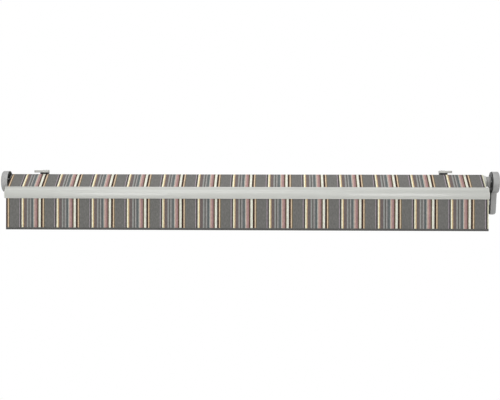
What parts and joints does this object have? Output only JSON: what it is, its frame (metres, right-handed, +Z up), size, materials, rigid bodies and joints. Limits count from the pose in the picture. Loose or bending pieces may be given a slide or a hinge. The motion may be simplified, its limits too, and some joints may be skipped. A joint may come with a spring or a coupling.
{
  "type": "folding-arm awning",
  "caption": "Open folding-arm awning with a striped cloth and valance, shown wound in; square torsion bar, hinged arms, roller, crank gear, front bar and wall brackets.",
  "frame": {"origin": "on the wall face, level with the middle of the square torsion bar, halfway along the awning", "axes": "+X along the awning to the right seen from the front, +Y into the wall, +Z up"},
  "size_m": [3.5563, 0.262, 0.4288],
  "materials": {
    "striped_cloth": "woven acrylic with cream, pink and tan stripes on grey",
    "binding": "dark woven tape",
    "keder": "plain plastic rod",
    "grey_cover": "fine grained moulding",
    "pale_cap": "fine grained moulding",
    "aluminium": "satin powder coat on extruded aluminium",
    "casting": "satin powder coat on cast aluminium",
    "dark_steel": "dark powder coat",
    "steel": "zinc plated",
    "nylon": "plain moulding"
  },
  "bodies": {
    "frame": {"torsion_bar": "dark_steel", "end_plate_left": "dark_steel", "end_plate_right": "dark_steel", "end_cover_left": "grey_cover", "end_cover_right": "grey_cover", "axle_bush_left": "nylon", "axle_bush_right": "nylon", "gear_case": "grey_cover", "wall_bracket_left": "dark_steel", "bracket_clamp_left": "dark_steel", "bracket_head_left": "casting", "shoulder_bracket_left": "casting", "shoulder_pin_left": "steel", "wall_bracket_right": "dark_steel", "bracket_clamp_right": "dark_steel", "bracket_head_right": "casting", "shoulder_bracket_right": "casting", "shoulder_pin_right": "steel"},
    "roller": {"roller_tube": "aluminium", "roller_flange_left": "pale_cap", "roller_flange_right": "pale_cap", "roller_plug_left": "nylon", "roller_plug_right": "nylon", "fabric_roll": "striped_cloth"},
    "crank": {"crank_shaft": "dark_steel", "crank_eye": "steel"},
    "upper_arm_left": {"upper_arm_left": "aluminium", "shoulder_knuckle_left": "casting", "elbow_fork_left": "casting", "arm_spring_left": "steel", "arm_cable_left": "steel", "elbow_pin_left": "steel"},
    "forearm_left": {"forearm_left": "aluminium", "elbow_tongue_left": "casting", "front_knuckle_left": "casting"},
    "upper_arm_right": {"upper_arm_right": "aluminium", "shoulder_knuckle_right": "casting", "elbow_fork_right": "casting", "arm_spring_right": "steel", "arm_cable_right": "steel", "elbow_pin_right": "steel"},
    "forearm_right": {"forearm_right": "aluminium", "elbow_tongue_right": "casting", "front_knuckle_right": "casting"},
    "front_bar": {"front_bar": "aluminium", "bar_cap_left": "pale_cap", "bar_cap_right": "pale_cap", "canopy_keder": "keder", "valance_keder": "keder", "valance": "striped_cloth", "valance_binding": "binding", "front_bracket_left": "casting", "front_bracket_right": "casting", "front_pin_left": "steel", "front_pin_right": "steel"},
    "canopy": {"canopy_sheet": "striped_cloth"}
  },
  "joints": [
    {"name": "shoulder_left", "type": "hinge", "parent": "frame", "child": "upper_arm_left", "pos_m": [-1.32, -0.105, -0.004], "axis": [0, 0.2079, -0.9781], "range_deg": [0, 68]},
    {"name": "elbow_left", "type": "hinge", "parent": "upper_arm_left", "child": "forearm_left", "pos_m": [-0.20059, -0.1405, -0.01155], "axis": [0, 0.2079, -0.9781], "range_deg": [-136.5, 0.5]},
    {"name": "front_pivot_left", "type": "hinge", "parent": "forearm_left", "child": "front_bar", "pos_m": [-1.32, -0.176, -0.01909], "axis": [0, 0.2079, -0.9781], "range_deg": [-0.5, 68.5]},
    {"name": "shoulder_right", "type": "hinge", "parent": "frame", "child": "upper_arm_right", "pos_m": [1.32, -0.105, -0.004], "axis": [0, -0.2079, 0.9781], "range_deg": [-0.5, 68.5]},
    {"name": "elbow_right", "type": "hinge", "parent": "upper_arm_right", "child": "forearm_right", "pos_m": [0.20059, -0.1405, -0.01155], "axis": [0, -0.2079, 0.9781], "range_deg": [-136.5, 0.5]},
    {"name": "canopy_travel", "type": "slide", "parent": "frame", "child": "canopy", "axis": [0, -0.9781, -0.2079], "range_m": [-0.01, 2.0404], "deforming": ["canopy_sheet"]},
    {"name": "roller_spin", "type": "hinge", "parent": "frame", "child": "roller", "pos_m": [0, -0.068, 0.08], "axis": [1, 0, 0], "range_deg": [-5, 2613.4]},
    {"name": "crank_turn", "type": "hinge", "parent": "frame", "child": "crank", "pos_m": [1.733, -0.092, 0], "axis": [0, 0, 1], "range_deg": [-30, 18288.7]}
  ],
  "couplings": [
    {"joint": "elbow_left", "follows": "shoulder_left", "ratio": -2},
    {"joint": "front_pivot_left", "follows": "shoulder_left", "ratio": 1},
    {"joint": "shoulder_right", "follows": "shoulder_left", "ratio": 1},
    {"joint": "elbow_right", "follows": "shoulder_left", "ratio": -2},
    {"joint": "canopy_travel", "follows": "shoulder_left", "m_per_rad": 1.7108},
    {"joint": "roller_spin", "follows": "shoulder_left", "ratio": 38.358},
    {"joint": "crank_turn", "follows": "shoulder_left", "ratio": 268.51}
  ]
}
